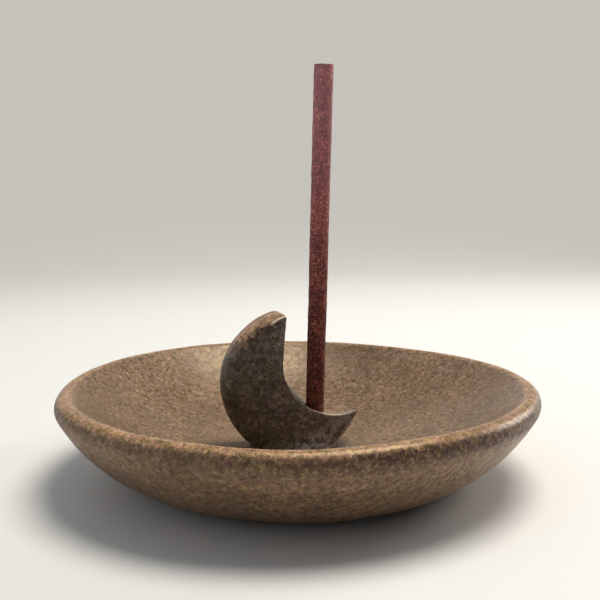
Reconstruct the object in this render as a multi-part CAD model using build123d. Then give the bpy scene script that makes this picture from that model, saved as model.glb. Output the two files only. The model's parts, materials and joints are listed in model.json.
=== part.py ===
from build123d import *
import os
from math import cos, radians, sin, sqrt, tan

# A stoneware incense stick holder: an ash dish with a crescent moon standing on its floor.
# The dish turns about Z and stands on z = 0. The crescent stands in the XZ plane, facing -Y.

# Dish
dish_diameter = 114.0
dish_height = 21.7
lip_radius = 2.6            # the lip is a full round, so this is half its thickness
lip_outer_turn = 28.0       # degrees below level at which the lip runs into the outer wall
lip_inner_turn = 47.5       # degrees above level at which the lip runs into the inner wall
floor_height = 5.8          # top of the flat floor above the table
foot_diameter = 71.0
foot_ring_width = 6.0
foot_recess_depth = 1.4
foot_edge_radius = 0.6

# Crescent, cut from a slab
crescent_radius = 17.5
crescent_thickness = 10.0
crescent_x = -1.5           # centre of the round, left of the dish's axis
crescent_flat_depth = 1.9   # how much of the round is pared away where it stands
crescent_edge_radius = 2.4  # outer rim, front and back
hollow_radius = 12.9
hollow_offset_x = 10.3      # centre of the hollow from the centre of the round
hollow_offset_z = 5.4
horn_lean = 5.2             # degrees by which the upper horn's inner edge leans right
horn_tip_radius = 1.6       # blunt upper horn, seen from the front
point_radius = 0.8          # worn point of the lower horn, seen from the front
seat_clearance = 0.1        # kept off the dish's curved wall by the crescent and its clay

# Clay pressed round the crescent's foot
coil_length = 20.5
coil_margin = 0.8           # how far it stands out from the crescent's front and back
coil_height = 1.5
coil_corner_radius = 3.4
coil_edge_radius = 0.7

# Stick, and the blind hole that it stands in
stick_diameter = 4.45
stick_length = 87.9
stick_end_radius = 0.2
stick_clearance = 0.2       # between the stick and the wall of its hole, all round
hole_depth = 6.5            # along the hole, below the surface of the hollow
hole_offset_x = 5.6         # mouth of the hole from the centre of the round
lean_right = 1.0            # degrees, towards +X
lean_front = 4.5            # degrees, towards -Y

# Worked out from the sizes above
lip_x = dish_diameter / 2 - lip_radius
lip_z = dish_height - lip_radius
lip_end_x = lip_x - lip_radius * cos(radians(lip_inner_turn))
lip_end_z = lip_z + lip_radius * sin(radians(lip_inner_turn))
# The inner wall is one arc, tangent to the lip above and to the flat floor below.
inner_wall_radius = (lip_end_z - floor_height) / (1 - sin(radians(lip_inner_turn)))
floor_radius = lip_end_x - inner_wall_radius * cos(radians(lip_inner_turn))
inner_wall_centre = (floor_radius, floor_height + inner_wall_radius)
crescent_z = floor_height + crescent_radius - crescent_flat_depth
hollow_x = crescent_x + hollow_offset_x
hollow_z = crescent_z + hollow_offset_z
hole_x = crescent_x + hole_offset_x
hole_mouth = Vector(hole_x, 0, hollow_z - sqrt(hollow_radius**2 - (hole_x - hollow_x) ** 2))
stick_axis = Vector(tan(radians(lean_right)), -tan(radians(lean_front)), 1).normalized()
hole_bottom = hole_mouth - stick_axis * hole_depth
stick_plane = Plane(origin=hole_bottom, z_dir=stick_axis)


def make_dish():
    lip_start = (
        lip_x + lip_radius * cos(radians(lip_outer_turn)),
        lip_z - lip_radius * sin(radians(lip_outer_turn)),
    )
    lip_arc = 180 - lip_inner_turn + lip_outer_turn
    foot_radius = foot_diameter / 2
    recess_radius = foot_radius - foot_ring_width

    with BuildPart() as dish:
        with BuildSketch(Plane.XZ):
            with BuildLine():
                CenterArc((lip_x, lip_z), lip_radius, -lip_outer_turn, lip_arc)
                CenterArc(inner_wall_centre, inner_wall_radius, -90, 90 - lip_inner_turn)
                Polyline(
                    (floor_radius, floor_height),
                    (0, floor_height),
                    (0, foot_recess_depth),
                    (recess_radius, foot_recess_depth),
                    (recess_radius, 0),
                    (foot_radius, 0),
                )
                TangentArc(
                    lip_start,
                    (foot_radius, 0),
                    tangent=(-sin(radians(lip_outer_turn)), -cos(radians(lip_outer_turn))),
                )
            make_face()
        revolve(axis=Axis.Z)
        fillet(dish.faces().filter_by(Plane.XY).sort_by(Axis.Z)[0].edges(), foot_edge_radius)
    return dish.part


def make_wall_room():
    # The inner wall and its clearance, as a ring that is cut from what stands on the floor
    room_radius = inner_wall_radius - seat_clearance
    room_end_x = floor_radius + room_radius * cos(radians(lip_inner_turn))
    room_end_z = inner_wall_centre[1] - room_radius * sin(radians(lip_inner_turn))
    with BuildPart() as room:
        with BuildSketch(Plane.XZ):
            with BuildLine():
                CenterArc(inner_wall_centre, room_radius, -90, 90 - lip_inner_turn)
                Polyline(
                    (room_end_x, room_end_z),
                    (room_end_x, 0),
                    (floor_radius, 0),
                    (floor_radius, floor_height + seat_clearance),
                )
            make_face()
        revolve(axis=Axis.Z)
    return room.part


def circles_cross(centre_a, radius_a, centre_b, radius_b):
    # The crossing of two circles that lies to the right of the line from a to b
    apart = centre_b - centre_a
    forward = apart.normalized()
    right = Vector(forward.Y, -forward.X)
    reach = (apart.length**2 + radius_a**2 - radius_b**2) / (2 * apart.length)
    return centre_a + forward * reach + right * sqrt(radius_a**2 - reach**2)


def make_crescent_slab(wall_room):
    reach = 2 * crescent_radius
    centre = Vector(crescent_x, crescent_z)
    hollow_centre = Vector(hollow_x, hollow_z)
    # Unit vectors along the upper horn's straight inner edge, and from it into the hollow
    along = Vector(sin(radians(horn_lean)), cos(radians(horn_lean)))
    across = Vector(cos(radians(horn_lean)), -sin(radians(horn_lean)))
    edge_start = hollow_centre - across * hollow_radius
    # Upper tip: an arc that touches the rim from inside and the straight edge from the left
    edge_side = (edge_start - centre).dot(across)
    horn_side = edge_side - horn_tip_radius
    horn_up = sqrt((crescent_radius - horn_tip_radius) ** 2 - horn_side**2)
    horn_centre = centre + across * horn_side + along * horn_up
    horn_corner = centre + across * edge_side + along * sqrt(crescent_radius**2 - edge_side**2)
    horn_touch = horn_centre + across * horn_tip_radius
    # Lower tip: an arc that touches the rim from inside and the hollow from below
    point_corner = circles_cross(centre, crescent_radius, hollow_centre, hollow_radius)
    point_centre = circles_cross(
        centre, crescent_radius - point_radius, hollow_centre, hollow_radius + point_radius
    )
    point_touch = hollow_centre + (point_centre - hollow_centre).normalized() * hollow_radius

    with BuildPart() as crescent:
        # The slab's round, with its rim softened front and back
        with BuildSketch(Plane.XZ):
            with Locations(centre):
                Circle(crescent_radius)
        extrude(amount=crescent_thickness / 2, both=True)
        fillet(crescent.edges().filter_by(GeomType.CIRCLE), crescent_edge_radius)
        # The hollow is a round bite that opens upwards along the straight inner edge
        with BuildSketch(Plane.XZ):
            with Locations(hollow_centre):
                Circle(hollow_radius)
            Polygon(
                hollow_centre,
                edge_start,
                edge_start + along * reach,
                edge_start + (along + across) * reach,
                hollow_centre + across * reach,
                align=None,
            )
        extrude(amount=crescent_thickness, both=True, mode=Mode.SUBTRACT)
        # What is pared off outside the arc at each tip
        tips = (
            (horn_centre, horn_tip_radius, horn_touch, horn_corner),
            (point_centre, point_radius, point_touch, point_corner),
        )
        for tip_centre, tip_radius, tip_touch, tip_corner in tips:
            rim_touch = tip_centre + (tip_centre - centre).normalized() * tip_radius
            outside = tip_centre + (tip_corner - tip_centre) * 2
            with BuildSketch(Plane.XZ):
                Polygon(tip_centre, tip_touch, outside, rim_touch, align=None)
                with Locations(tip_centre):
                    Circle(tip_radius, mode=Mode.SUBTRACT)
            extrude(amount=crescent_thickness, both=True, mode=Mode.SUBTRACT)
        # The flat that it stands on, and room for the wall where that of a small dish rises under it
        with Locations((crescent_x, 0, floor_height)):
            Box(reach, reach, reach, align=(Align.CENTER, Align.CENTER, Align.MAX), mode=Mode.SUBTRACT)
        add(wall_room, mode=Mode.SUBTRACT)
    return crescent.part


def make_crescent(slab):
    with BuildPart() as crescent:
        add(slab)
        with BuildSketch(stick_plane):
            Circle(stick_diameter / 2 + stick_clearance)
        extrude(amount=stick_length, mode=Mode.SUBTRACT)
    return crescent.part


def make_coil(slab, wall_room):
    with BuildPart() as coil:
        with BuildSketch(Plane.XY.offset(floor_height)):
            with Locations((crescent_x, 0)):
                RectangleRounded(coil_length, crescent_thickness + 2 * coil_margin, coil_corner_radius)
        extrude(amount=coil_height)
        fillet(coil.faces().sort_by(Axis.Z)[-1].edges(), coil_edge_radius)
        # The soft clay takes the form of what it is pressed between
        add(slab, mode=Mode.SUBTRACT)
        add(wall_room, mode=Mode.SUBTRACT)
    return coil.part


def make_stick():
    with BuildPart() as stick:
        with BuildSketch(stick_plane):
            Circle(stick_diameter / 2)
        extrude(amount=stick_length)
        fillet(stick.edges().filter_by(GeomType.CIRCLE), stick_end_radius)
    return stick.part


os.makedirs("parts", exist_ok=True)
room_for_wall = make_wall_room()
crescent_slab = make_crescent_slab(room_for_wall)
sub_parts = {
    "dish": make_dish(),
    "crescent_holder": make_crescent(crescent_slab),
    "joining_coil": make_coil(crescent_slab, room_for_wall),
    "incense_stick": make_stick(),
}
for name, solid in sub_parts.items():
    export_step(solid, f"parts/{name}.step")
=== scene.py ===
import json
import bmesh
import bpy
import numpy as np
from mathutils import Matrix, Vector


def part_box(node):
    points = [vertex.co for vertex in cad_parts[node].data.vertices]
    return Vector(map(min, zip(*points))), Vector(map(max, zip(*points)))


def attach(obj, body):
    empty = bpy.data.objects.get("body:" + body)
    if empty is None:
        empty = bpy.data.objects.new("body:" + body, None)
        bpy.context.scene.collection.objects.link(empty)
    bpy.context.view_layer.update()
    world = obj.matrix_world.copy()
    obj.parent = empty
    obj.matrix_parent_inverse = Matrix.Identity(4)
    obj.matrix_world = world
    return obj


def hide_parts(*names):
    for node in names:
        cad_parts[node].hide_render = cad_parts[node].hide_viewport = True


# Speckled stoneware incense holder: an ash dish, a crescent standing on its floor, one thick stick
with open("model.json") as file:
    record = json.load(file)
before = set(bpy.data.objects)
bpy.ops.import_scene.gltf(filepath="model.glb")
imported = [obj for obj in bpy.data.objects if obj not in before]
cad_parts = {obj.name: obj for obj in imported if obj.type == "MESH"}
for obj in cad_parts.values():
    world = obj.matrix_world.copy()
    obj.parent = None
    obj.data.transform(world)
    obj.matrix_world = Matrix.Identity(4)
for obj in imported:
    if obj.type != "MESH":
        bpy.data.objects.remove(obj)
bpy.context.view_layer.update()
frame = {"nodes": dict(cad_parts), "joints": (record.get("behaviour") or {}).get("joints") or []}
mm = 0.001                      # one millimetre in metres
weldDistance = 0.0005 * mm      # points closer than this become one
print("frame loaded:", ", ".join(sorted(frame["nodes"])))


# Curves in a plane, as arrays of two columns
def arcCurve(centre, radius, startDeg, endDeg, count):
    # centre plus radius times the cosine and sine of evenly spaced angles
    turn = np.radians(np.linspace(startDeg, endDeg, count))
    return np.asarray(centre) + radius * np.stack([np.cos(turn), np.sin(turn)], axis=1)


def straightCurve(start, end, count):
    # evenly spaced points from start to end
    share = np.linspace(0, 1, count)[:, None]
    return np.asarray(start) * (1 - share) + np.asarray(end) * share


def softCorner(start, corner, end, count):
    # quadratic curve that leaves start towards corner and comes to end from corner
    t = np.linspace(0, 1, count)[:, None]
    start, corner, end = (np.asarray(point) for point in (start, corner, end))
    return (1 - t) ** 2 * start + 2 * t * (1 - t) * corner + t**2 * end


def joinCurves(*curves):
    # one line through the curves in turn, with each shared end kept once
    return np.concatenate([curves[0]] + [curve[1:] for curve in curves[1:]])


def lengthAlong(curve):
    # distance from the first point to each point, measured along the curve
    step = np.linalg.norm(np.diff(curve, axis=0), axis=1)
    return np.concatenate([[0.0], np.cumsum(step)])


def pointsAt(curve, share):
    # the points that lie at the given shares of the curve's length
    along = lengthAlong(curve)
    return np.stack([np.interp(share * along[-1], along, curve[:, k]) for k in (0, 1)], axis=1)


def angleOf(vector):
    return np.degrees(np.arctan2(vector[1], vector[0]))


def unit(vector):
    return vector / np.linalg.norm(vector)


# Shapes shared by the pieces
def smoothStep(low, high, value):
    # 0 below low, 1 above high, and an easy S between them
    t = np.clip((value - low) / (high - low), 0, 1)
    return t * t * (3 - 2 * t)


def fadeOut(limits, value):
    # falls from 1 to 0 between the two limits
    return 1 - smoothStep(*limits, value)


def bandStep(limits, value):
    # rises from 0 to 1 between the first two limits, and falls back between the next two, if any
    rise = smoothStep(*limits[:2], value)
    return rise * fadeOut(limits[2:], value) if limits[2:] else rise


def signedTurn(angle):
    # the same angle, counted between minus and plus half a turn
    return (angle + np.pi) % (2 * np.pi) - np.pi


def softNoise(points, cell, seed):
    # value noise: a random height at each corner of a cubic lattice, blended between the eight
    # round a point
    span = 48                   # the lattice repeats after this many cells
    lattice = np.random.default_rng(seed).uniform(-1, 1, (span, span, span))
    scaled = points / cell
    base = np.floor(scaled).astype(int)
    part = scaled - base
    part = part * part * (3 - 2 * part)
    total = np.zeros(points.shape[:-1])
    for corner in np.ndindex(2, 2, 2):
        weight = np.prod(np.where(corner, part, 1 - part), axis=-1)
        x, y, z = np.moveaxis((base + corner) % span, -1, 0)
        total += lattice[x, y, z] * weight
    return total


def gridMesh(name, points, closeRows, closeColumns):
    # four-sided faces between neighbouring rows and columns of points, wrapped where the surface
    # closes on itself
    rows, columns = points.shape[:2]
    i, j = np.meshgrid(
        np.arange(rows if closeRows else rows - 1),
        np.arange(columns if closeColumns else columns - 1),
        indexing="ij",
    )
    here = i * columns
    above = (i + 1) % rows * columns
    beside = (j + 1) % columns
    faces = np.stack([here + j, above + j, above + beside, here + beside], axis=-1).reshape(-1, 4)
    mesh = bpy.data.meshes.new(name)
    mesh.from_pydata(points.reshape(-1, 3).tolist(), [], faces.tolist())
    return mesh


def addObject(name, data):
    made = bpy.data.objects.new(name, data)
    bpy.context.scene.collection.objects.link(made)
    return made


def gridPiece(name, points, closeRows=False, marks=None):
    # a closed mesh from a grid of points whose columns go right round; marks are values on the
    # points that a material can read
    mesh = gridMesh(name, points, closeRows, True)
    for mark, values in (marks or {}).items():
        layer = mesh.attributes.new(mark, "FLOAT", "POINT")
        onPoints = np.broadcast_to(values, points.shape[:2]).astype(np.float32)
        layer.data.foreach_set("value", onPoints.ravel())
    sheet = bmesh.new()
    sheet.from_mesh(mesh)
    bmesh.ops.remove_doubles(sheet, verts=sheet.verts, dist=weldDistance)
    bmesh.ops.recalc_face_normals(sheet, faces=sheet.faces)
    if sheet.calc_volume(signed=True) < 0:
        bmesh.ops.reverse_faces(sheet, faces=sheet.faces)
    sheet.to_mesh(mesh)
    sheet.free()
    mesh.shade_smooth()
    return addObject(name, mesh)


def roughen(piece, lumps, rise=None, base=0):
    # moves each point along its normal by a sum of noises, each a height, a cell size and a seed,
    # that start between two heights above the base
    mesh = piece.data
    place = np.empty(len(mesh.vertices) * 3)
    normal = np.empty(len(mesh.vertices) * 3)
    mesh.vertices.foreach_get("co", place)
    mesh.vertex_normals.foreach_get("vector", normal)
    place = place.reshape(-1, 3)
    shift = sum(height * softNoise(place, cell, seed) for height, cell, seed in lumps)
    if rise:
        shift = shift * smoothStep(*rise, place[:, 2] - base)
    moved = place + normal.reshape(-1, 3) * shift[:, None]
    mesh.vertices.foreach_set("co", moved.ravel())
    mesh.update()


def placePiece(piece, body, node, material):
    piece.data.materials.append(material)
    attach(piece, body)
    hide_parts(node)
    print("made", piece.name, "with", len(piece.data.polygons), "faces")


# Nodes for the finishes
def setInputs(tree, node, inputs):
    # links what comes from another node and sets what is a plain value
    for key, value in inputs.items():
        if isinstance(value, bpy.types.NodeSocket):
            tree.links.new(value, node.inputs[key])
        else:
            node.inputs[key].default_value = value


def addNode(tree, kind, inputs=None, **settings):
    made = tree.nodes.new(kind)
    for key, value in settings.items():
        setattr(made, key, value)
    setInputs(tree, made, inputs or {})
    return made


def newMaterial(name):
    material = bpy.data.materials.new(name)
    material.use_nodes = True
    tree = material.node_tree
    place = addNode(tree, "ShaderNodeTexCoord").outputs["Object"]
    return material, tree, tree.nodes["Principled BSDF"], place


def noiseNode(tree, place, size, detail, roughness):
    # noise whose blobs are about size across
    inputs = {"Vector": place, "Scale": 1 / size, "Detail": detail, "Roughness": roughness}
    return addNode(tree, "ShaderNodeTexNoise", inputs).outputs[0]


def mapNode(tree, value, low, high, toLow=0.0, toHigh=1.0):
    inputs = {"Value": value, "From Min": low, "From Max": high, "To Min": toLow, "To Max": toHigh}
    return addNode(tree, "ShaderNodeMapRange", inputs, interpolation_type="SMOOTHSTEP").outputs[0]


def patternNode(tree, place, noise, limits):
    return mapNode(tree, noiseNode(tree, place, *noise), *limits)


def mathNode(tree, operation, first, second):
    return addNode(tree, "ShaderNodeMath", {0: first, 1: second}, operation=operation).outputs[0]


def mixNode(tree, share, first, second, blend="MIX"):
    inputs = {0: share, 6: first, 7: second}
    made = addNode(tree, "ShaderNodeMix", inputs, data_type="RGBA", blend_type=blend)
    return made.outputs[2]


def rampNode(tree, value, stops):
    made = addNode(tree, "ShaderNodeValToRGB", {0: value})
    elements = made.color_ramp.elements
    while len(elements) < len(stops):
        elements.new(0.5)
    for element, (position, tone) in zip(elements, stops):
        element.position = position
        element.color = (*tone, 1)
    return made.outputs[0]


def grey(tree, value):
    # one value as a colour, to multiply by
    return addNode(tree, "ShaderNodeCombineColor", {0: value, 1: value, 2: value}).outputs[0]


def timesNode(tree, first, second):
    return mixNode(tree, 1.0, first, second, "MULTIPLY")


def shadeNode(tree, tone, noise, limits, depth):
    # a tone that a noise darkens and lightens
    return timesNode(tree, tone, grey(tree, mapNode(tree, noise, *limits, *depth)))


def markNode(tree, name):
    # the value that a piece carries on its points, or nought where it carries none
    return addNode(tree, "ShaderNodeAttribute", attribute_name=name).outputs["Fac"]


def coverNode(tree, tone, pattern, mark, cover):
    # a second tone laid over the first in a pattern, as far as the piece's mark goes
    share = mathNode(tree, "MULTIPLY", pattern, markNode(tree, mark))
    return mixNode(tree, share, tone, cover)


def dotNode(tree, place, spacing, share, limits):
    # round dots in some of the cells of a cellular pattern
    cells = addNode(tree, "ShaderNodeTexVoronoi", {"Vector": place, "Scale": 1 / spacing})
    dot = mapNode(tree, cells.outputs["Distance"], *limits)
    pick = addNode(tree, "ShaderNodeSeparateColor", {0: cells.outputs["Color"]}).outputs[0]
    return mathNode(tree, "MULTIPLY", dot, mathNode(tree, "LESS_THAN", pick, share))


def pitNode(tree, relief, strength, depth):
    inputs = {"Height": relief, "Strength": strength, "Distance": depth}
    return addNode(tree, "ShaderNodeBump", inputs).outputs[0]


def colour(red, green, blue):
    return (red, green, blue, 1)


# Stoneware: blotches of olive, brown, mauve and tan clay, a fine grain, iron specks and slow clouds.
# A noise is given by its size, detail and roughness, and a range by what goes in and what comes out.
stonewareLook = {
    "blotchNoise": (1.05 * mm, 4.0, 0.62),
    "blotchTones": (
        (0.32, (0.100, 0.064, 0.038)),
        (0.44, (0.220, 0.144, 0.086)),
        (0.55, (0.290, 0.192, 0.116)),
        (0.67, (0.440, 0.290, 0.172)),
    ),
    "grainNoise": (0.30 * mm, 2.0, 0.5),
    "grainRange": (0.25, 0.75),
    "tint": ((1.6 * mm, 4.0, 0.65), (0.34, 0.66)),
    "oliveTint": colour(0.94, 0.975, 0.77),
    "mauveTint": colour(1.11, 0.99, 1.26),
    "cloudNoise": (3.0, 0.6),       # detail and roughness; each finish has its own size
    "cloudRange": (0.30, 0.70),
    "streak": ((1.1 * mm, 3.0, 0.65), (0.40, 0.58, 0.45, 0.92)),
    "patchNoise": (1.6 * mm, 4.0, 0.65),
    "patchDepth": 1.6,              # how unevenly the glaze ends where the clay shows bare
    "bareRange": (0.35, 0.95),
    "speckSpacing": 0.95 * mm,
    "speckShare": 0.6,              # share of the cells that hold a speck
    "speckRange": (0.14, 0.36, 0.8, 0.0),
    "speckTone": colour(0.060, 0.031, 0.022),
    "spot": ((0.95 * mm, 2.0, 0.5), (0.46, 0.53, 0.0, 0.9)),
    "spotTone": colour(0.055, 0.028, 0.030),
    "scuff": ((1.1 * mm, 3.0, 0.6), (0.42, 0.62)),
    "scuffTone": colour(0.420, 0.390, 0.400),
    # painted highlights along the crescent's edges
    "highlightRange": (0.32, 0.46, 0.6, 1.0),
    "highlightTone": colour(0.84, 0.66, 0.49),
    "glossRange": (0.3, 0.7),
    "roughness": (0.16, 0.46),
    "sheenTint": colour(1.0, 0.78, 0.53),
    "sheenLevel": 0.52,
    "grainRelief": 0.5,             # how deep the grain is beside the blotches
    "pits": (0.6, 0.10 * mm),       # strength and depth
}


def stoneware(name, finish):
    # the finish tints the clay under the glaze and where it shows bare, and sets its clouds, runs,
    # painted shade and gloss
    look = stonewareLook
    material, tree, shader, place = newMaterial(name)
    blotch = noiseNode(tree, place, *look["blotchNoise"])
    grain = noiseNode(tree, place, *look["grainNoise"])
    patch = noiseNode(tree, place, *look["patchNoise"])
    clay = rampNode(tree, blotch, look["blotchTones"])
    clay = shadeNode(tree, clay, grain, look["grainRange"], finish["grainDepth"])
    tint = patternNode(tree, place, *look["tint"])
    clay = timesNode(tree, clay, mixNode(tree, tint, look["oliveTint"], look["mauveTint"]))
    cloud = noiseNode(tree, place, finish["cloudSize"], *look["cloudNoise"])
    clay = shadeNode(tree, clay, cloud, look["cloudRange"], finish["cloudDepth"])
    bareAndLit = timesNode(tree, clay, finish["bareAndLit"])
    # Lighter glaze where the thin-and-lit mark lays painted sheen and reflection on the dish, and thin
    # glaze with painted light in the crescent's hollow
    glaze = mixNode(tree, markNode(tree, "thinAndLitMark"), finish["glaze"], finish["thinAndLitGlaze"])
    clay = timesNode(tree, clay, glaze)
    # Dark runs, a noise drawn out downwards; the same dark tone is laid as painted shade where the
    # run-and-shade mark says so
    stretch = {"Vector": place, "Scale": (1, 1, finish["drawn"])}
    drawn = addNode(tree, "ShaderNodeMapping", stretch).outputs[0]
    streak = patternNode(tree, drawn, *look["streak"])
    clay = coverNode(tree, clay, streak, "runAndShadeMark", timesNode(tree, clay, finish["runAndShade"]))
    # Edges, where the glaze ran thin, show the bare clay in patches; on the crescent's upper rim the
    # lighter tone is also painted light
    aroundNought = mathNode(tree, "SUBTRACT", patch, 0.5)
    uneven = mathNode(tree, "MULTIPLY", aroundNought, look["patchDepth"])
    shown = mathNode(tree, "ADD", markNode(tree, "bareAndLitMark"), uneven)
    clay = mixNode(tree, mapNode(tree, shown, *look["bareRange"]), clay, bareAndLit)
    # Iron specks, and dark spots where the glaze ran thick
    speck = dotNode(tree, place, look["speckSpacing"], look["speckShare"], look["speckRange"])
    clay = mixNode(tree, speck, clay, look["speckTone"])
    spot = patternNode(tree, place, *look["spot"])
    clay = coverNode(tree, clay, spot, "spotMark", look["spotTone"])
    # Grey scuffs, and painted highlights along edges, broken up in patches
    scuff = patternNode(tree, place, *look["scuff"])
    clay = coverNode(tree, clay, scuff, "scuffMark", look["scuffTone"])
    highlightPatch = mapNode(tree, patch, *look["highlightRange"])
    clay = coverNode(tree, clay, highlightPatch, "highlightMark", look["highlightTone"])
    # The gloss changes from patch to patch, and is lower where the glaze is dull
    glossy, dull = (value + finish["dullness"] for value in look["roughness"])
    sheen = mapNode(tree, patch, *look["glossRange"], glossy, dull)
    dulled = mathNode(tree, "MULTIPLY", markNode(tree, "dullMark"), finish["dulled"])
    fine = mathNode(tree, "MULTIPLY", grain, look["grainRelief"])
    surface = {
        "Base Color": clay,
        "Roughness": mathNode(tree, "ADD", sheen, dulled),
        "Specular Tint": look["sheenTint"],
        "Specular IOR Level": look["sheenLevel"],
        "Normal": pitNode(tree, mathNode(tree, "ADD", blotch, fine), *look["pits"]),
    }
    setInputs(tree, shader, surface)
    return material


# Dish
dish = {
    "lipRadius": 2.6 * mm,
    "lipOuterTurn": 28,         # degrees below level where the lip runs into the outer wall
    "lipInnerTurn": 47.5,       # degrees above level where it runs into the inner wall
    "floorHeight": 5.8 * mm,
    "footRadius": 35.5 * mm,
    "recessRadius": 29.5 * mm,
    "recessDepth": 1.4 * mm,
    "footEdge": 0.6 * mm,
    "freeRadius": (30 * mm, 54 * mm),   # the wall strays more and more between these radii
    "freeHeight": (0.5 * mm, 6 * mm),   # and these heights
    "outOfRound": 0.22 * mm,    # how far a hand-thrown wall strays from the circle
    "lipWaver": 0.10 * mm,      # and from the level
    "backRise": 0.35 * mm,      # how much higher the lip stands at the back
    "backTilt": 0.95 * mm,      # and how much higher there on the left than on the right
    "frontDip": 0.30 * mm,      # how much the lip dips at the front
    "frontDipTurn": (-1.64, 0.25),      # at which angle, and over which
    "ringSpacing": 3.6 * mm,    # faint rings left by throwing
    "ringHeight": 0.012 * mm,
    "ringRadius": (24 * mm, 32 * mm),   # they start between these radii
    "ringRise": (2 * mm, 7 * mm),       # and these heights
    "lumps": ((0.10 * mm, 13 * mm, 11), (0.04 * mm, 5 * mm, 12)),
    "lumpRise": (0.4 * mm, 3 * mm),
    "angles": 384,
}
# Where its glaze differs, and where shade, sheen and reflection are painted: limits of the angle,
# counted from the right and negative at the front, and of the length from the lip's crest, negative
# inwards
dishGlaze = {
    "bareLip": (-2.0 * mm, -0.3 * mm, 1.5 * mm, 3.2 * mm),
    "underside": (0.3 * mm, 1 * mm),        # starts below this height, and over this length
    # painted shade on the underside
    "underShade": 0.6,
    "backLeft": (2.1, 3.1),                 # what differs at the front and right ends here
    # runs under the lip, partly painted shade on the outer side that faces the front
    "runShadeTurn": (-2.7, -2.2, -1.5, -0.9),
    "runShadeBand": (1.8 * mm, 3.2 * mm, 3 * mm, 10 * mm),
    "runShadeLeast": 0.3,                        # share that is found all round
    "spotTurn": (-1.9, -1.3, -0.3, 0.8),
    "spotBand": (1.6 * mm, 2.6 * mm, 4.5 * mm, 7.5 * mm),
    "spotLeast": 0.35,
    "fewer": 0.8,                           # how much fewer both are past the front
    # painted shade near the foot, less on the right
    "footTurn": (-1.3, -0.7),
    "footBand": (4 * mm, 15 * mm),
    "footFewer": 0.7,
    "backRight": ((0.75, 1.05, 1.35, 1.6), (-18 * mm, -9 * mm, -2.0 * mm, -0.6 * mm)),
    "backShares": (0.4, 0.3),               # of darkening and of spots
    # painted shade inside at the left
    "leftTurn": (2.6, 3.2, 4.4, 5.4),       # counted on through the back
    "leftRadius": (8 * mm, 22 * mm),
    "leftFade": (-3 * mm, -1 * mm),
    "leftShade": 0.5,
    "dullBand": (1.5 * mm, 4 * mm),
    "clear": ((-1.3, -0.6), (5 * mm, 9 * mm)),
    "clearShares": (0.35, 0.35),            # how much less dull it is, and how much more so low down
    # painted reflection on the outer wall at the right, and painted sheen inside the lip at the back
    "reflectionRight": ((-1.9, -0.6, 0.8, 1.6), (4 * mm, 9 * mm)),
    "sheenBack": ((0.2, 0.5, 0.75, 1.0), (-11 * mm, -4 * mm, -1.5 * mm, 0)),
    "sheenLeft": ((1.8, 2.2, 2.7, 3.0), (-15 * mm, -8 * mm, -1.5 * mm, 0)),
    "sheenShares": (0.7, 0.35),              # of the last two
}


def dishProfile():
    # radius and height from the middle of the floor, up the inner wall, over the lip, down and
    # under the foot
    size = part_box("dish")
    lipRadius = dish["lipRadius"]
    floorHeight = dish["floorHeight"]
    lipCentre = np.array([size[1].x - lipRadius, size[1].z - lipRadius])
    innerTurn = np.radians(dish["lipInnerTurn"])
    lipEnd = lipCentre + lipRadius * np.array([-np.cos(innerTurn), np.sin(innerTurn)])
    wallRadius = (lipEnd[1] - floorHeight) / (1 - np.sin(innerTurn))
    floorRadius = lipEnd[0] - wallRadius * np.cos(innerTurn)
    wallCentre = (floorRadius, floorHeight + wallRadius)
    # The outer wall's arc leaves the lip smoothly and reaches the table at the foot
    outerTurn = np.radians(dish["lipOuterTurn"])
    outward = np.array([np.cos(outerTurn), -np.sin(outerTurn)])
    lipStart = lipCentre + lipRadius * outward
    footCorner = np.array([dish["footRadius"], 0])
    toFoot = footCorner - lipStart
    outerRadius = -(toFoot @ toFoot) / (2 * outward @ toFoot)
    outerCentre = lipStart - outerRadius * outward
    edge = dish["footEdge"]
    outerEnd = angleOf(footCorner - outerCentre) + np.degrees(edge / outerRadius)
    outerWall = arcCurve(outerCentre, outerRadius, -dish["lipOuterTurn"], outerEnd, count=66)
    recess = dish["recessRadius"]
    depth = dish["recessDepth"]
    return joinCurves(
        straightCurve((0, floorHeight), (floorRadius, floorHeight), count=40),
        arcCurve(wallCentre, wallRadius, -90, -dish["lipInnerTurn"], count=66),
        arcCurve(lipCentre, lipRadius, 180 - dish["lipInnerTurn"], -dish["lipOuterTurn"], count=36),
        outerWall,
        softCorner(outerWall[-1], footCorner, footCorner - (edge, 0), count=7),
        straightCurve(footCorner - (edge, 0), (recess + edge, 0), count=6),
        softCorner((recess + edge, 0), (recess, 0), (recess, edge), count=6),
        softCorner((recess, edge), (recess, depth), (recess - edge, depth), count=6),
        straightCurve((recess - edge, depth), (0, depth), count=12),
    )


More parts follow.
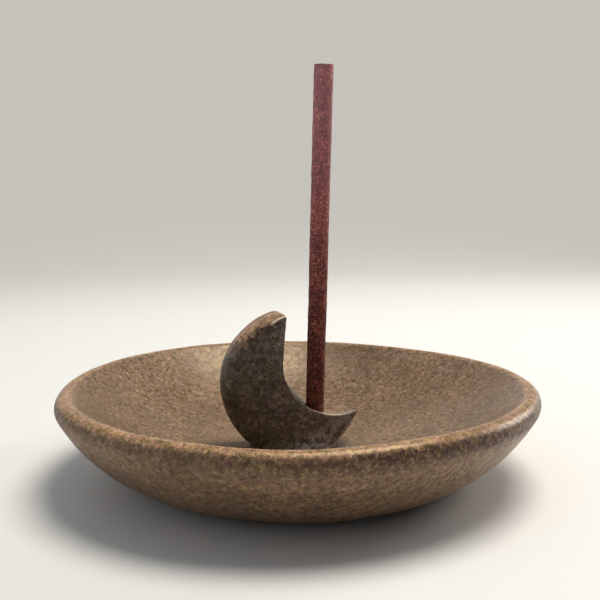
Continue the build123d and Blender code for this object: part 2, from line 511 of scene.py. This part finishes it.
def dishMarks(turn, radius, height, past):
    # where the glaze is bare, run, spotted and dull, and where shade, sheen and reflection are painted:
    # products of steps in the angle and in the length past the lip's crest
    at = dishGlaze
    aside = signedTurn(turn)
    toBack = fadeOut(at["backLeft"], aside)
    footHeight, fade = at["underside"]
    foot = past[np.argmax((past > 0) & (height < footHeight))]
    under = smoothStep(foot - fade, foot + fade, past)

    def patch(name):
        angles, lengths = at[name]
        return bandStep(angles, aside) * bandStep(lengths, past)

    def mostInFront(limits, least):
        # least all round, 1 between the limits and fewer past them
        fewer = 1 - at["fewer"] * smoothStep(*limits[2:], aside)
        return least + (1 - least) * smoothStep(*limits[:2], aside) * fewer * toBack

    # Dark glaze runs down from the lip with spots in it, strongest at the front, where it is partly
    # painted shade on the lip's outer side; near the foot and underneath the darkening is painted shade,
    # less on the right
    underLip = mostInFront(at["runShadeTurn"], at["runShadeLeast"]) * bandStep(at["runShadeBand"], past)
    spots = mostInFront(at["spotTurn"], at["spotLeast"]) * bandStep(at["spotBand"], past)
    fewer = 1 - at["footFewer"] * smoothStep(*at["footTurn"], aside) * toBack
    footShade = smoothStep(*at["footBand"], past) * fewer * (1 - under) + at["underShade"] * under
    # Inside, it is darker at the back to the right, and painted shade darkens it at the left
    backDark, backSpots = at["backShares"]
    left = bandStep(at["leftTurn"], turn) * smoothStep(*at["leftRadius"], radius)
    left = left * fadeOut(at["leftFade"], past)
    inside = np.maximum(backDark * patch("backRight"), at["leftShade"] * left)
    # The outside is dull, and less so at the right
    clearTurn, clearBand = at["clear"]
    clearAll, clearLow = at["clearShares"]
    clear = smoothStep(*clearTurn, aside) * (clearAll + clearLow * smoothStep(*clearBand, past))
    clear = clear * toBack * (1 - under)
    # Painted reflection lightens the outer wall low on the right, and painted sheen lightens the inside
    # near the lip at the back, to the right and to the left
    sheenBack, sheenLeft = at["sheenShares"]
    sheenInside = sheenBack * patch("sheenBack") + sheenLeft * patch("sheenLeft")
    return {
        "bareAndLitMark": bandStep(at["bareLip"], past),
        "thinAndLitMark": np.maximum(patch("reflectionRight") * (1 - under), sheenInside),
        "runAndShadeMark": np.maximum(np.maximum(underLip, footShade), inside),
        "spotMark": np.maximum(spots, backSpots * patch("backRight")),
        "dullMark": np.maximum(smoothStep(*at["dullBand"], past) * (1 - clear), left),
    }


def makeDish():
    # the profile turned about Z; the wall's radius and height waver with the angle in two to five
    # waves, more towards the lip
    profile = dishProfile()
    radius, height = profile[:, :1], profile[:, 1:]
    along = lengthAlong(profile)[:, None]
    turn = np.linspace(0, 2 * np.pi, dish["angles"], endpoint=False)[None, :]
    free = smoothStep(*dish["freeRadius"], radius) * smoothStep(*dish["freeHeight"], height)
    wall = smoothStep(*dish["ringRadius"], radius) * smoothStep(*dish["ringRise"], height)
    stray = free * dish["outOfRound"] * (np.cos(2 * turn - 0.7) + 0.5 * np.cos(3 * turn + 1.1))
    ring = wall * dish["ringHeight"] * np.sin(2 * np.pi * along / dish["ringSpacing"] + turn)
    waver = free * dish["lipWaver"] * (np.cos(2 * turn + 0.4) + 0.6 * np.cos(5 * turn))
    higher = dish["backRise"] - dish["backTilt"] * np.cos(turn)
    back = free * np.clip(np.sin(turn), 0, None) * higher
    dipTurn, dipWidth = dish["frontDipTurn"]
    dip = free * dish["frontDip"] * np.exp(-((signedTurn(turn - dipTurn) / dipWidth) ** 2))
    out = radius + stray
    rise = height + waver + back + ring - dip
    points = np.stack([out * np.cos(turn), out * np.sin(turn), rise], axis=-1)
    past = along - along[np.argmax(height)]
    piece = gridPiece("ash_dish", points, marks=dishMarks(turn, radius, height, past))
    roughen(piece, dish["lumps"], dish["lumpRise"])
    return piece


# Crescent, cut from a slab and smoothed by hand
crescent = {
    "radius": 17.5 * mm,
    "rimRound": 3.2 * mm,       # rounding of the outer rim, front and back
    "tipBevel": 0.6 * mm,       # the front of the upper tip is bevelled instead, this much at its end
    "tipReach": 13 * mm,        # and more and more over this length
    "bevelFade": (0.3, 0.65),   # shares of that length between which it turns into the rounding
    "bevelDepth": 1.5,          # how much deeper the bevel is than it is high
    "tipBack": 2.8 * mm,        # rounding of the back of the upper tip
    "tipSwell": 0.35 * mm,      # how far the back of the tip swells past the round
    "swellReach": 3 * mm,       # the inner edge goes along over this length
    "baseRound": 1.2 * mm,      # rounding where the clay is pressed on to the floor
    "baseFade": (0.5 * mm, 6 * mm),     # heights above the floor over which that ends
    "hollowRound": 0.3 * mm,    # rounding of the hollow's edges
    "hollowDip": 0.45 * mm,     # how far the hollow is dished between its edges
    "dipBand": (0, 0.12, 0.88, 1),      # shares of the length between the tips
    "edgeLift": 0.25 * mm,      # how far its front edge stands up under the stick
    "liftBand": (0, 5 * mm, 11 * mm, 15 * mm),      # to the right of the round's centre
    "flatDepth": 1.9 * mm,      # how much of the round is pared away where it stands
    "hollowRadius": 12.9 * mm,
    "hollowOffset": (10.3 * mm, 5.4 * mm),
    "hornLean": 5.2,            # degrees by which the upper horn's inner edge leans right
    "hornTip": (1.0 * mm, 2.2 * mm),    # radius of the upper tip from the front, at front and back
    "pointTip": (0.8 * mm, 1.8 * mm),   # and of the lower point
    "lumps": ((0.12 * mm, 7 * mm, 21), (0.05 * mm, 2.6 * mm, 22)),
    "lumpRise": (0.2 * mm, 3 * mm),
    "edgeShares": (0.25, 0.6),  # most of a section's width that the inner and the outer rounding take
    "sections": 300,
    "crowding": 0.9,            # how much closer the sections lie at the tips
    "lowerHorn": 0.4,           # share of the sections after which the lower horn starts
}
# Where its glaze differs, and where shade, light and highlights are painted. Lengths run from the
# round's centre to the right and up, unless said.
crescentGlaze = {
    "bareFade": (1.0 * mm, 4.8 * mm),   # from the rim
    "bevelFade": (0.85, 1.10),          # and at the bevel, as shares of it
    "bareLitSide": (-0.3, 0.6),            # shares of the radius, upwards and to the right
    "bareLitLean": 0.4,
    # painted light and painted shade in the hollow, and painted shade at the lower left
    "thinLitHollow": (1 * mm, 6 * mm),
    "darkHollow": (1 * mm, 5 * mm),
    "darkHollowShare": 0.8,
    "darkLowLeft": (0.14, 1.26),        # shares of the radius, to the left plus down
    "scuffRight": (-1 * mm, 3 * mm, 8 * mm, 12 * mm),
    "scuffLow": (-13.5 * mm, -10 * mm),
    "scuffPoint": (4 * mm, 11 * mm),
    "scuffPointShare": 0.65,
    "scuffFront": (0, 2 * mm),          # in front of the slab's middle
    # painted highlight along the hollow's front edge
    "edgeHighlight": (-0.28 * mm, 0.12 * mm, 0.12 * mm, 0.52 * mm),   # from the hollow's edge
    "edgeBand": (6 * mm, 8.5 * mm, 11 * mm, 13 * mm),
    "edgeShare": 0.8,
    "ridgeAt": 0.88,                    # share of the bevel
    "ridgeFade": (0.08 * mm, 0.30 * mm),
    "ridgeEnd": (4.5 * mm, 7 * mm),     # from the tip
    "spotRim": (0.8 * mm, 1.4 * mm, 2.4 * mm, 3.4 * mm),    # from the rim
    "spotBand": (3 * mm, 5 * mm, 12 * mm, 18 * mm),         # from the tip
}
stick = {
    "radius": 2.225 * mm,
    "length": 87.9 * mm,
    "endRound": 0.2 * mm,
    "clearance": 0.2 * mm,
    "holeDepth": 6.5 * mm,
    "holeOffset": 5.6 * mm,     # mouth of the hole from the centre of the crescent's round
    "holeCone": 0.3 * mm,       # the hole's end is coned this much
    "holeAbove": 6 * mm,        # how far the cutter stands out of the hole
    "holeAngles": 64,
    "holeSharp": 40,            # degrees from which an edge of the cut stays sharp
}
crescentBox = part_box("crescent_holder")
slabHalf = crescentBox[1].y
roundCentre = np.array([crescentBox[0].x, crescentBox[0].z - crescent["flatDepth"]]) + crescent["radius"]
hollowCentre = roundCentre + crescent["hollowOffset"]
stickAxis = unit(np.array(frame["joints"][0]["axis"]))
holeX = roundCentre[0] + stick["holeOffset"]
holeDrop = np.sqrt(crescent["hollowRadius"] ** 2 - (holeX - hollowCentre[0]) ** 2)
holeMouth = np.array([holeX, 0, hollowCentre[1] - holeDrop])
holeBottom = holeMouth - stickAxis * stick["holeDepth"]


def crescentEdges(hornTip, pointTip):
    # the outer and the inner edge in the XZ plane, both from the upper horn's tip to the lower point
    radius = crescent["radius"]
    hollowRadius = crescent["hollowRadius"]
    lean = np.radians(crescent["hornLean"])
    along = np.array([np.sin(lean), np.cos(lean)])
    across = np.array([np.cos(lean), -np.sin(lean)])
    edgeStart = hollowCentre - across * hollowRadius
    # The upper tip's arc touches the rim from inside and the straight inner edge from the left
    hornSide = (edgeStart - roundCentre) @ across - hornTip
    hornUp = np.sqrt((radius - hornTip) ** 2 - hornSide**2)
    hornCentre = roundCentre + across * hornSide + along * hornUp
    hornRimTurn = angleOf(hornCentre - roundCentre)
    hornEdgeTurn = -crescent["hornLean"]
    hornApex = (hornRimTurn + hornEdgeTurn) / 2
    # The lower tip's arc touches the rim from inside and the hollow from below
    apart = hollowCentre - roundCentre
    forward = unit(apart)
    right = np.array([forward[1], -forward[0]])
    gap = np.linalg.norm(apart)
    reach = (gap**2 + (radius - pointTip) ** 2 - (hollowRadius + pointTip) ** 2) / (2 * gap)
    sideways = np.sqrt((radius - pointTip) ** 2 - reach**2)
    pointCentre = roundCentre + forward * reach + right * sideways
    pointRimTurn = angleOf(pointCentre - roundCentre)
    pointHollowTurn = angleOf(hollowCentre - pointCentre)
    pointApex = (pointRimTurn + pointHollowTurn) / 2
    # The flat that it stands on cuts the round at the same height on both sides
    flatTurn = np.degrees(np.arccos(1 - crescent["flatDepth"] / radius))
    leftRim = arcCurve(roundCentre, radius, hornRimTurn, 270 - flatTurn, count=120)
    rightRim = arcCurve(roundCentre, radius, 270 + flatTurn, 360 + pointRimTurn, count=60)
    outer = joinCurves(
        arcCurve(hornCentre, hornTip, hornApex, hornRimTurn, count=20),
        leftRim,
        straightCurve(leftRim[-1], rightRim[0], count=30),
        rightRim,
        arcCurve(pointCentre, pointTip, pointRimTurn, pointApex, count=20),
    )
    hollowStart = 180 - crescent["hornLean"]
    hollowEnd = 360 + angleOf(pointCentre - hollowCentre)
    inner = joinCurves(
        arcCurve(hornCentre, hornTip, hornApex, hornEdgeTurn, count=20),
        straightCurve(hornCentre + across * hornTip, edgeStart, count=30),
        arcCurve(hollowCentre, hollowRadius, hollowStart, hollowEnd, count=120),
        arcCurve(pointCentre, pointTip, pointHollowTurn, pointApex, count=20),
    )
    return outer, inner


def slabSide(start, end, roundAt, bevelled):
    # one face of the slab: spans from the inner to the outer edge, with columns set closer near
    # both, and half the slab's thickness there, less the drop of a quarter circle or, where
    # bevelled is 1, of a straight bevel
    width = np.linalg.norm(end - start, axis=2)
    hollowRound = crescent["hollowRound"]
    innerShare, outerShare = crescent["edgeShares"]
    fine = 1 - np.cos(np.linspace(0, np.pi / 2, num=14))[None, :]
    nearInner = np.minimum(hollowRound, innerShare * width) * fine[:, ::2]
    nearOuter = width - np.minimum(roundAt, outerShare * width) * fine[:, ::-1]
    between = np.linspace(0, 1, num=26)[None, 1:-1]
    middle = nearInner[:, -1:] + (nearOuter[:, :1] - nearInner[:, -1:]) * between
    reach = np.concatenate([nearInner, middle, nearOuter], axis=1)
    share = reach / np.maximum(width, 1e-9)     # at the tips the width is nought
    span = start + (end - start) * share[:, :, None]
    rimDistance = crescent["radius"] - np.linalg.norm(span - roundCentre, axis=2)
    inside = roundAt - np.clip(rimDistance, 0, roundAt)
    roundDrop = roundAt - np.sqrt(roundAt**2 - inside**2)
    drop = roundDrop + (crescent["bevelDepth"] * inside - roundDrop) * bevelled
    inHollow = hollowRound - np.clip(reach, 0, hollowRound)
    drop = drop + hollowRound - np.sqrt(hollowRound**2 - inHollow**2)
    return span, reach, rimDistance, slabHalf - drop


def makeCrescent():
    # both faces of the slab, the rim between them and the hollow's surface, as loops swept from
    # tip to tip
    even = np.linspace(0, 1, crescent["sections"])
    share = even - crescent["crowding"] * np.sin(2 * np.pi * even) / (2 * np.pi)
    edges = [crescentEdges(*tips) for tips in zip(crescent["hornTip"], crescent["pointTip"])]
    (frontEnd, frontStart), (backEnd, backStart) = [
        [pointsAt(edge, share)[:, None, :] for edge in pair] for pair in edges
    ]
    fromTip = share[:, None] * lengthAlong(edges[0][0])[-1]
    # The hollow's front edge stands up a little under the stick
    lowerHorn = (even > crescent["lowerHorn"])[:, None]
    edgeX = frontStart[:, :, 0] - roundCentre[0]
    lifted = crescent["edgeLift"] * bandStep(crescent["liftBand"], edgeX) * lowerHorn
    frontStart = frontStart + np.stack([0 * lifted, lifted], axis=-1)
    # Rounding of the rim, with the tip and the base of their own kind
    rimRound = crescent["rimRound"]
    tipShare = fadeOut((0, crescent["tipReach"]), fromTip)
    atBase = fadeOut(crescent["baseFade"], frontEnd[:, :, 1] - dish["floorHeight"])
    frontRound = rimRound + (crescent["tipBevel"] - rimRound) * tipShare
    frontRound = frontRound + (crescent["baseRound"] - frontRound) * atBase
    backRound = rimRound + (crescent["tipBack"] - rimRound) * tipShare
    backRound = backRound + (crescent["baseRound"] - backRound) * atBase
    bevelled = fadeOut(crescent["bevelFade"], fromTip / crescent["tipReach"])
    # The back of the tip swells, and its inner edge goes along at the end so that both meet there
    swell = crescent["tipSwell"] * tipShare[:, :, None]
    backEnd = backEnd + swell * (backEnd - roundCentre) / crescent["radius"]
    swell = swell * fadeOut((0, crescent["swellReach"]), fromTip)[:, :, None]
    backStart = backStart + swell * (backStart - roundCentre) / crescent["radius"]
    front, reach, rimDistance, frontHalf = slabSide(frontStart, frontEnd, frontRound, bevelled)
    back, _, backDistance, backHalf = slabSide(backStart, backEnd, backRound, 0)
    frontFace = np.stack([front[:, :, 0], -frontHalf, front[:, :, 1]], axis=-1)
    backFace = np.stack([back[:, :, 0], backHalf, back[:, :, 1]], axis=-1)[:, ::-1]
    across = np.linspace(0, 1, num=13)[None, 1:-1, None]
    rim = frontFace[:, -1:] * (1 - across) + backFace[:, :1] * across
    hollow = backFace[:, -1:] * (1 - across) + frontFace[:, :1] * across
    dip = crescent["hollowDip"] * bandStep(crescent["dipBand"], even)[:, None, None]
    fromHollow = hollow - np.array([hollowCentre[0], 0, hollowCentre[1]])
    outward = fromHollow * np.array([1, 0, 1]) / crescent["hollowRadius"]
    hollow = hollow + 4 * across * (1 - across) * dip * outward
    points = np.concatenate([frontFace, rim, backFace, hollow], axis=1)

    def around(onFront=0, onRim=0, onBack=0, inHollow=0):
        # a value for each point of the loops, from those of the four strips
        values = zip((onFront, onRim, onBack, inHollow), (frontFace, rim, backFace, hollow))
        strips = [np.broadcast_to(value, strip.shape[:2]) for value, strip in values]
        return np.concatenate(strips, axis=1)

    at = crescentGlaze
    offsetX = points[:, :, 0] - roundCentre[0]
    offsetZ = points[:, :, 2] - roundCentre[1]
    # Bare clay shows round the rim, down to the edge of the bevel at the tip; it is laid most at the
    # upper left, where it is also painted light on the side that the light falls on
    fadeLow, fadeHigh = (
        limit / rimRound + (bevel - limit / rimRound) * bevelled
        for limit, bevel in zip(at["bareFade"], at["bevelFade"])
    )
    frontBare = 1 - smoothStep(fadeLow, fadeHigh, rimDistance / frontRound)
    backBare = fadeOut(at["bareFade"], backDistance)
    upper = smoothStep(*at["bareLitSide"], (offsetZ + at["bareLitLean"] * offsetX) / crescent["radius"])
    bareAndLit = around(frontBare, 1, backBare[:, ::-1]) * upper
    # Painted shade darkens the lower left and the hollow there; towards the point the hollow is lighter,
    # thin glaze and painted light where it faces up
    inHollow = around(inHollow=1)
    lowLeft = smoothStep(*at["darkLowLeft"], -(offsetX + offsetZ) / crescent["radius"])
    darkHollow = at["darkHollowShare"] * inHollow * fadeOut(at["darkHollow"], offsetX)
    # Grey scuffs lie low on the right of the face, and on the point
    lowRight = bandStep(at["scuffRight"], offsetX) * fadeOut(at["scuffLow"], offsetZ)
    onPoint = at["scuffPointShare"] * smoothStep(*at["scuffPoint"], offsetX)
    inFront = smoothStep(*at["scuffFront"], -points[:, :, 1])
    # Painted highlights along the hollow's front edge towards the point, and along the bevel's edge at
    # the tip
    hollowEdge = bandStep(at["edgeHighlight"], reach) * bandStep(at["edgeBand"], edgeX) * lowerHorn
    tipRidge = fadeOut(at["ridgeFade"], np.abs(rimDistance - at["ridgeAt"] * frontRound))
    tipRidge = tipRidge * fadeOut(at["ridgeEnd"], fromTip)
    # Dark spots lie along the lower side of the bare rim, at the upper left of the face
    spotBand = bandStep(at["spotRim"], rimDistance) * bandStep(at["spotBand"], fromTip)
    marks = {
        "bareAndLitMark": bareAndLit,
        "thinAndLitMark": inHollow * smoothStep(*at["thinLitHollow"], offsetX),
        "runAndShadeMark": np.maximum(lowLeft, darkHollow),
        "scuffMark": np.maximum(lowRight, onPoint) * inFront,
        "highlightMark": around(np.maximum(at["edgeShare"] * hollowEdge, tipRidge)),
        "spotMark": around(spotBand),
        "dullMark": inHollow,
    }
    piece = gridPiece("crescent_moon", points, marks=marks)
    roughen(piece, crescent["lumps"], crescent["lumpRise"], dish["floorHeight"])
    return piece


def lathe(name, outline, origin, axis, angles):
    # an outline of distance along the axis and radius, turned about the axis
    sideways = unit(np.cross(axis, (0, 1, 0)))
    other = np.cross(axis, sideways)
    turn = np.linspace(0, 2 * np.pi, angles, endpoint=False)[None, :, None]
    ring = np.cos(turn) * sideways + np.sin(turn) * other
    points = origin + outline[:, :1, None] * axis + outline[:, 1:, None] * ring
    return gridPiece(name, points)


def boreHole(piece):
    # cuts the stick's blind hole: a straight bore with a slightly coned end
    bore = stick["radius"] + stick["clearance"]
    top = stick["holeDepth"] + stick["holeAbove"]
    outline = joinCurves(
        straightCurve((-stick["holeCone"], 0), (0, bore), count=4),
        straightCurve((0, bore), (top, bore), count=12),
        straightCurve((top, bore), (top, 0), count=4),
    )
    cutter = lathe("hole_cutter", outline, holeBottom, stickAxis, stick["holeAngles"])
    cut = piece.modifiers.new("hole", "BOOLEAN")
    cut.object = cutter
    cut.operation = "DIFFERENCE"
    cut.solver = "MANIFOLD"
    whole = len(piece.data.polygons)
    evaluated = piece.evaluated_get(bpy.context.evaluated_depsgraph_get())
    result = bpy.data.meshes.new_from_object(evaluated)
    print("hole cut:", whole, "faces before,", len(result.polygons), "after")
    piece.modifiers.clear()
    piece.data = result
    result.materials.clear()
    result.set_sharp_from_angle(angle=np.radians(stick["holeSharp"]))
    bpy.data.objects.remove(cutter)


# Clay pressed round the crescent's foot
coil = {
    "length": 20.5 * mm,
    "margin": 0.5 * mm,         # how far it stands out from the crescent's front and back
    "height": 1.5 * mm,
    "lean": 0.55 * mm,          # how far its side leans in over that height
    "corner": 3.4 * mm,
    "inward": 1.7 * mm,         # how far it runs in under the crescent
    "sunk": 0.1 * mm,           # how far it is pressed into the floor
    "press": 0.22,              # share by which its height varies
    "pressNoise": (4.5 * mm, 31),       # cell size and seed of that
    "scuffFrom": (-3 * mm, 4 * mm),     # grey scuffs towards the right
    "scuffShare": 0.7,
    "darkTo": (-6 * mm, 2 * mm),        # painted shade towards the left
    "sections": 220,
    "ahead": 0.002,             # share of the path over which its direction is taken
}


def makeCoil():
    # a wedge-shaped section carried round a rectangle with rounded corners, pressed unevenly
    corner = coil["corner"]
    halfX = coil["length"] / 2 - corner
    halfY = slabHalf + coil["margin"] - corner
    centres = ((halfX, halfY, 0), (-halfX, halfY, 90), (-halfX, -halfY, 180), (halfX, -halfY, 270))
    corners = [arcCurve((x, y), corner, turn, turn + 90, count=24) for x, y, turn in centres]
    path = np.concatenate(corners + [corners[0][:1]])
    share = np.linspace(0, 1, coil["sections"], endpoint=False)
    line = pointsAt(path, share)
    ahead = pointsAt(path, (share + coil["ahead"]) % 1) - pointsAt(path, (share - coil["ahead"]) % 1)
    outward = np.stack([ahead[:, 1], -ahead[:, 0]], axis=1) / np.linalg.norm(ahead, axis=1)[:, None]
    place = np.concatenate([line, 0 * line[:, :1]], axis=1)
    press = 1 + coil["press"] * softNoise(place, *coil["pressNoise"])[:, None]
    lean, height, inner, sunk = coil["lean"], coil["height"], coil["inward"], coil["sunk"]
    section = joinCurves(
        straightCurve((0, -sunk), (lean, height), count=10),
        straightCurve((lean, height), (inner, height), count=6),
        straightCurve((inner, height), (inner, -sunk), count=4),
    )
    inward = section[None, :, 0]
    rise = section[None, :, 1] * press
    x = roundCentre[0] + line[:, :1] - outward[:, :1] * inward
    y = line[:, 1:] - outward[:, 1:] * inward
    points = np.stack([x, y, dish["floorHeight"] + rise], axis=-1)
    marks = {
        "scuffMark": coil["scuffShare"] * smoothStep(*coil["scuffFrom"], line[:, :1]),
        "runAndShadeMark": fadeOut(coil["darkTo"], line[:, :1]),
    }
    return gridPiece("clay_joint", points, closeRows=True, marks=marks)


# Incense stick: pressed powder with a grainy skin
stickSkin = {
    "angles": 96,
    "rows": 560,
    "lumps": ((0.035 * mm, 0.55 * mm, 41), (0.05 * mm, 2.4 * mm, 42)),
}


def makeStick():
    # a rod with softened ends, turned about the hole's axis and roughened all over
    end = stick["endRound"]
    radius = stick["radius"]
    length = stick["length"]
    outline = joinCurves(
        straightCurve((0, 0), (0, radius - end), count=8),
        softCorner((0, radius - end), (0, radius), (end, radius), count=6),
        straightCurve((end, radius), (length - end, radius), stickSkin["rows"]),
        softCorner((length - end, radius), (length, radius), (length, radius - end), count=6),
        straightCurve((length, radius - end), (length, 0), count=8),
    )
    piece = lathe("incense_rod", outline, holeBottom, stickAxis, stickSkin["angles"])
    roughen(piece, stickSkin["lumps"])
    return piece


pasteLook = {
    "grainNoise": (0.50 * mm, 3.0, 0.65),
    "grainTones": (
        (0.35, (0.035, 0.006, 0.004)),
        (0.46, (0.165, 0.032, 0.023)),
        (0.55, (0.295, 0.072, 0.052)),
        (0.66, (0.580, 0.205, 0.125)),
    ),
    "fleckSpacing": 1.0 * mm,
    "fleckShare": 0.16,             # share of the cells that hold a pale fleck of wood
    "fleckRange": (0.08, 0.24, 0.8, 0.0),
    "fleckTone": colour(0.560, 0.270, 0.140),
    "lumpNoise": (2.2 * mm, 2.0, 0.5),
    "lumpRange": (0.3, 0.7),
    "lumpDepth": (0.66, 1.34),
    "low": 22 * mm,                 # heights between which the paste goes from dark, painted shade low in the dish, to bright, painted light at the top
    "high": 98 * mm,
    "levels": (0.70, 1.40),         # how bright it is at these heights: painted shade low down and painted light at the top
    "dustFrom": 36 * mm,            # height above which dust lies on it
    "dust": colour(0.380, 0.190, 0.232),
    "dustShare": 0.50,
    "roughness": 0.85,
    "pits": (0.6, 0.08 * mm),
}


def incensePaste():
    look = pasteLook
    material, tree, shader, place = newMaterial("incense paste")
    grain = noiseNode(tree, place, *look["grainNoise"])
    paste = rampNode(tree, grain, look["grainTones"])
    fleck = dotNode(tree, place, look["fleckSpacing"], look["fleckShare"], look["fleckRange"])
    paste = mixNode(tree, fleck, paste, look["fleckTone"])
    lump = noiseNode(tree, place, *look["lumpNoise"])
    paste = shadeNode(tree, paste, lump, look["lumpRange"], look["lumpDepth"])
    height = addNode(tree, "ShaderNodeSeparateXYZ", {0: place}).outputs[2]
    # painted shade low in the dish and painted light at the top
    paste = shadeNode(tree, paste, height, (look["low"], look["high"]), look["levels"])
    dusty = mapNode(tree, height, look["dustFrom"], look["high"], 0.0, look["dustShare"])
    paste = mixNode(tree, dusty, paste, look["dust"])
    pits = pitNode(tree, grain, *look["pits"])
    setInputs(tree, shader, {"Base Color": paste, "Roughness": look["roughness"], "Normal": pits})
    return material


# Build the pieces
dishFinish = {
    "glaze": colour(0.81, 0.81, 0.80),
    # lighter tone for the painted reflection and sheen
    "thinAndLitGlaze": colour(1.07, 1.11, 1.19),
    "bareAndLit": colour(1.28, 1.18, 0.98),
    "grainDepth": (0.62, 1.38),     # how far the grain darkens and lightens the clay
    "cloudSize": 12 * mm,
    "cloudDepth": (0.86, 1.14),
    # dark runs, also painted shade under the lip, near the foot and inside at the left
    "runAndShade": colour(0.60, 0.56, 0.49),
    "drawn": 0.45,                  # below one, the runs are drawn out downwards
    "dullness": 0.0,                # how much rougher the glaze is all over
    "dulled": 0.20,                 # and where it is dull
}
crescentFinish = {
    # darker and greyer than the dish's glaze, partly painted shade for the face that turns away from the
    # light
    "glaze": colour(0.60, 0.82, 1.12),
    "thinAndLitGlaze": colour(0.88, 0.88, 0.86),
    "bareAndLit": colour(1.34, 1.30, 1.22),
    "grainDepth": (0.46, 1.54),
    "cloudSize": 3.2 * mm,
    "cloudDepth": (0.68, 1.32),
    # painted shade at the lower left and in the hollow
    "runAndShade": colour(0.34, 0.31, 0.14),
    "drawn": 1.0,
    "dullness": 0.22,
    "dulled": 0.45,
}
# the joint's glaze is darker still: painted shade where it meets the floor
coilFinish = dict(crescentFinish, glaze=colour(0.50, 0.64, 0.80), dullness=0.35)
dishClay = stoneware("dish stoneware", dishFinish)
crescentClay = stoneware("crescent stoneware", crescentFinish)
coilClay = stoneware("joint clay", coilFinish)

ashDish = makeDish()
placePiece(ashDish, "holder", "dish", dishClay)

crescentMoon = makeCrescent()
boreHole(crescentMoon)
placePiece(crescentMoon, "holder", "crescent_holder", crescentClay)

clayJoint = makeCoil()
placePiece(clayJoint, "holder", "joining_coil", coilClay)

incenseRod = makeStick()
placePiece(incenseRod, "stick", "incense_stick", incensePaste())


# Floor that sweeps up into a backdrop
backdrop = {
    "width": 5.0,
    "front": -2.0,
    "bend": 0.5,
    "bendRadius": 0.6,
    "height": 2.4,
    "tone": colour(0.84, 0.83, 0.815),
    "roughness": 0.7,
    "distance": colour(0.56, 0.54, 0.50),   # what the camera sees far behind the object
    "fade": (0.20, 0.80),           # distances from the object over which the floor fades into that
}


def showPlain(tree, share, shader, kind, output):
    # the camera sees a plain tone instead of the shader, by a share
    seen = addNode(tree, "ShaderNodeLightPath").outputs["Is Camera Ray"]
    plain = addNode(tree, kind, {"Color": backdrop["distance"]}).outputs[0]
    inputs = {0: mathNode(tree, "MULTIPLY", share, seen), 1: shader.outputs[0], 2: plain}
    mixed = addNode(tree, "ShaderNodeMixShader", inputs).outputs[0]
    setInputs(tree, tree.nodes[output], {"Surface": mixed})


def makeBackdrop():
    # a line that runs along the floor, bends up through a quarter circle and rises, carried sideways
    bend, bendRadius = backdrop["bend"], backdrop["bendRadius"]
    wall = bend + bendRadius
    line = joinCurves(
        straightCurve((backdrop["front"], 0), (bend, 0), count=12),
        arcCurve((bend, bendRadius), bendRadius, -90, 0, count=24),
        straightCurve((wall, bendRadius), (wall, backdrop["height"]), count=6),
    )
    half = backdrop["width"] / 2
    across = np.linspace(-half, half, num=12)[None, :]
    points = np.stack(np.broadcast_arrays(across, line[:, :1], line[:, 1:]), axis=-1)
    mesh = gridMesh("pale_floor", points, False, False)
    mesh.shade_smooth()
    floor = addObject("pale_floor", mesh)
    material, tree, shader, place = newMaterial("pale floor")
    away = addNode(tree, "ShaderNodeVectorMath", {0: place}, operation="LENGTH").outputs["Value"]
    far = mapNode(tree, away, *backdrop["fade"])
    showPlain(tree, far, shader, "ShaderNodeEmission", "Material Output")
    setInputs(tree, shader, {"Base Color": backdrop["tone"], "Roughness": backdrop["roughness"]})
    mesh.materials.append(material)
    print("floor laid")


makeBackdrop()


# Light: a wide soft lamp overhead, a window at the right, and a room that is brightest at the back left
lamps = {
    "overhead": {"place": (0.25, 0.08, 0.98), "size": 0.58, "power": 8.8, "colour": (1.0, 0.95, 0.85)},
    "window": {"place": (0.85, 0.40, 0.42), "size": 0.5, "power": 3.4, "colour": (1.0, 0.98, 0.95)},
}
room = {
    "dim": 0.085,
    "bright": 0.68,
    "brightSide": (-0.75, 0.66, 0),
    "turn": (-0.6, 0.6),            # how far it faces that side where it is dim, and where bright
    "colour": colour(0.88, 0.94, 1.0),
}


def makeLamps():
    for name, lamp in lamps.items():
        light = bpy.data.lights.new(name, "AREA")
        light.shape = "DISK"
        light.size = lamp["size"]
        light.energy = lamp["power"]
        light.color = lamp["colour"]
        holder = addObject(name, light)
        holder.visible_camera = False
        aim = unit(-np.array(lamp["place"]))
        holder.location = lamp["place"]
        holder.rotation_euler = Vector(aim).to_track_quat("-Z", "Y").to_euler()
    world = bpy.data.worlds.new("room")
    world.use_nodes = True
    tree = world.node_tree
    facing = addNode(tree, "ShaderNodeTexCoord").outputs["Generated"]
    towards = {0: facing, 1: room["brightSide"]}
    side = addNode(tree, "ShaderNodeVectorMath", towards, operation="DOT_PRODUCT").outputs["Value"]
    level = mapNode(tree, side, *room["turn"], room["dim"], room["bright"])
    lit = tree.nodes["Background"]
    setInputs(tree, lit, {"Color": room["colour"], "Strength": level})
    showPlain(tree, 1.0, lit, "ShaderNodeBackground", "World Output")
    bpy.context.scene.world = world
    print("lamps and room lit")


makeLamps()

# Camera: at the photograph's viewing angle, seven degrees to the left of the crescent's face
camera = {
    "distance": 191.83 * mm,
    "height": 64.96 * mm,
    "aside": 0.59 * mm,
    "turn": 7.0,                    # this and the next two in degrees
    "pitch": 6.971,
    "roll": -0.307,
    "lens": 48,                     # for the sensor's width
    "sensor": 36,
    "nearest": 10 * mm,
}


def makeCamera():
    data = bpy.data.cameras.new("camera")
    data.lens = camera["lens"]
    data.sensor_width = camera["sensor"]
    data.clip_start = camera["nearest"]
    viewer = addObject("camera", data)
    viewer.matrix_world = (
        Matrix.Rotation(np.radians(-camera["turn"]), 4, "Z")
        @ Matrix.Translation((camera["aside"], -camera["distance"], camera["height"]))
        @ Matrix.Rotation(np.radians(90 - camera["pitch"]), 4, "X")
        @ Matrix.Rotation(np.radians(camera["roll"]), 4, "Z")
    )
    bpy.context.scene.camera = viewer
    print("camera placed")


makeCamera()
bpy.context.scene.view_settings.view_transform = "Standard"
